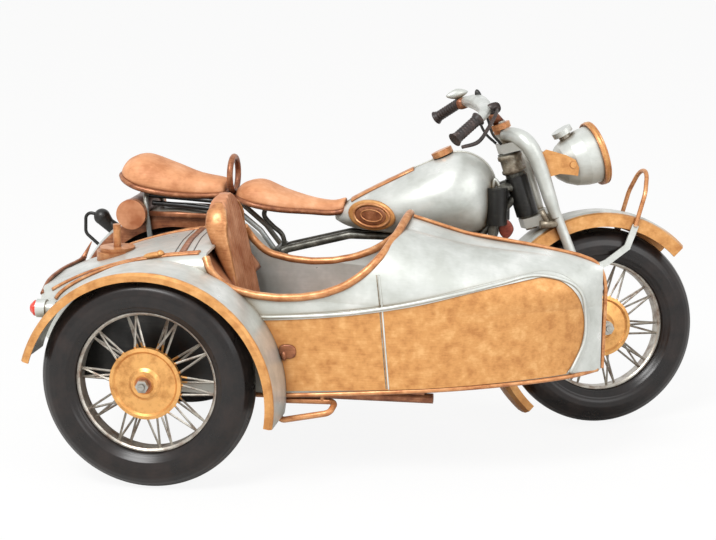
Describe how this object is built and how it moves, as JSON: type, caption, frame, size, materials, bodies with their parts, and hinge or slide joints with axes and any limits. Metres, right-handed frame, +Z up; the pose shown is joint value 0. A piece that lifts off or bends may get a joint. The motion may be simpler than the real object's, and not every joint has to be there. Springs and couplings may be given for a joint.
{
  "type": "sidecar motorcycle display model",
  "caption": "Hand-made sheet-metal model of a vintage motorcycle with a boat-nosed sidecar; its wheels roll and its fork steers",
  "frame": {"origin": "on the floor under the middle of the whole model's length and width, as it stands with its fork turned to the left", "axes": "+X forward, +Y to the rider's left, +Z up; the sidecar stands on the right, at -Y"},
  "size_m": [0.3262, 0.1923, 0.1808],
  "materials": {
    "tyre_rubber": "dull brown-black rubber",
    "wheel_steel": "dull plated steel",
    "silver_sheet": "aged silver-grey paint, rubbed warm at the edges",
    "copper_trim": "copper paint, semi-gloss",
    "copper_saddle": "copper-brown paint with rubbed gold edges",
    "gold_panel": "aged gold paint, brushed",
    "dark_steel": "black-brown paint",
    "bright_steel": "plated steel",
    "lamp_glass": "clear lens",
    "red_lens": "clear red",
    "grip_rubber": "ribbed dark brown"
  },
  "bodies": {
    "vehicle": {"cockpit_rim": "copper_trim", "engine_case": "dark_steel", "engine_cylinders": "dark_steel", "exhaust_pipes": "silver_sheet", "frame": "dark_steel", "frame_sleeves": "dark_steel", "fuel_tank": "silver_sheet", "gearbox": "dark_steel", "gold_panels": "gold_panel", "grab_handle": "silver_sheet", "knee_pads": "copper_trim", "luggage_roll": "copper_saddle", "nose_bead": "copper_trim", "panel_borders": "silver_sheet", "pillion_saddle": "copper_saddle", "rack_plate": "copper_trim", "rear_axle": "bright_steel", "rear_fender": "silver_sheet", "rear_frame": "dark_steel", "rear_lamp": "dark_steel", "rider_saddle": "copper_saddle", "saddle_springs": "dark_steel", "sidecar_axle": "bright_steel", "sidecar_chassis": "dark_steel", "sidecar_fender": "silver_sheet", "sidecar_lamp_body": "silver_sheet", "sidecar_lamp_lens": "red_lens", "sidecar_nose": "silver_sheet", "sidecar_seat_back": "copper_saddle", "sidecar_seat_base": "copper_saddle", "sidecar_seat_cushion": "copper_saddle", "sidecar_tub": "silver_sheet", "spare_wheel_carrier": "wheel_steel", "step_loop": "silver_sheet", "tank_cap": "copper_trim"},
    "front_wheel": {"front_wheel": "wheel_steel", "front_tyre": "tyre_rubber"},
    "rear_wheel": {"rear_wheel": "wheel_steel", "rear_tyre": "tyre_rubber"},
    "sidecar_wheel": {"sidecar_wheel": "wheel_steel", "sidecar_tyre": "tyre_rubber"},
    "steering": {"front_fork": "silver_sheet", "fork_collar": "bright_steel", "front_axle": "bright_steel", "headlamp_bowl": "silver_sheet", "headlamp_rim": "bright_steel", "headlamp_glass": "lamp_glass", "lamp_knob": "silver_sheet", "lamp_brackets": "copper_trim", "handlebar": "silver_sheet", "handlebar_grips": "grip_rubber", "hand_levers": "dark_steel", "fender_hoop": "silver_sheet", "fender_straps": "silver_sheet", "front_fender": "silver_sheet", "control_cables": "dark_steel"}
  },
  "joints": [
    {"name": "steering", "type": "hinge", "parent": "vehicle", "child": "steering", "pos_m": [0.0719, 0.0541, 0.128], "axis": [-0.309, 0, 0.9511], "range_deg": [-57, 13]},
    {"name": "front_wheel_spin", "type": "hinge", "parent": "steering", "child": "front_wheel", "pos_m": [0.1148, 0.06096, 0.05089], "axis": [-0.3563, 0.9272, -0.1158], "continuous": true},
    {"name": "rear_wheel_spin", "type": "hinge", "parent": "vehicle", "child": "rear_wheel", "pos_m": [-0.1051, 0.0541, 0.051], "axis": [0, 1, 0], "continuous": true},
    {"name": "sidecar_wheel_spin", "type": "hinge", "parent": "vehicle", "child": "sidecar_wheel", "pos_m": [-0.0851, -0.0833, 0.051], "axis": [0, 1, 0], "continuous": true}
  ]
}
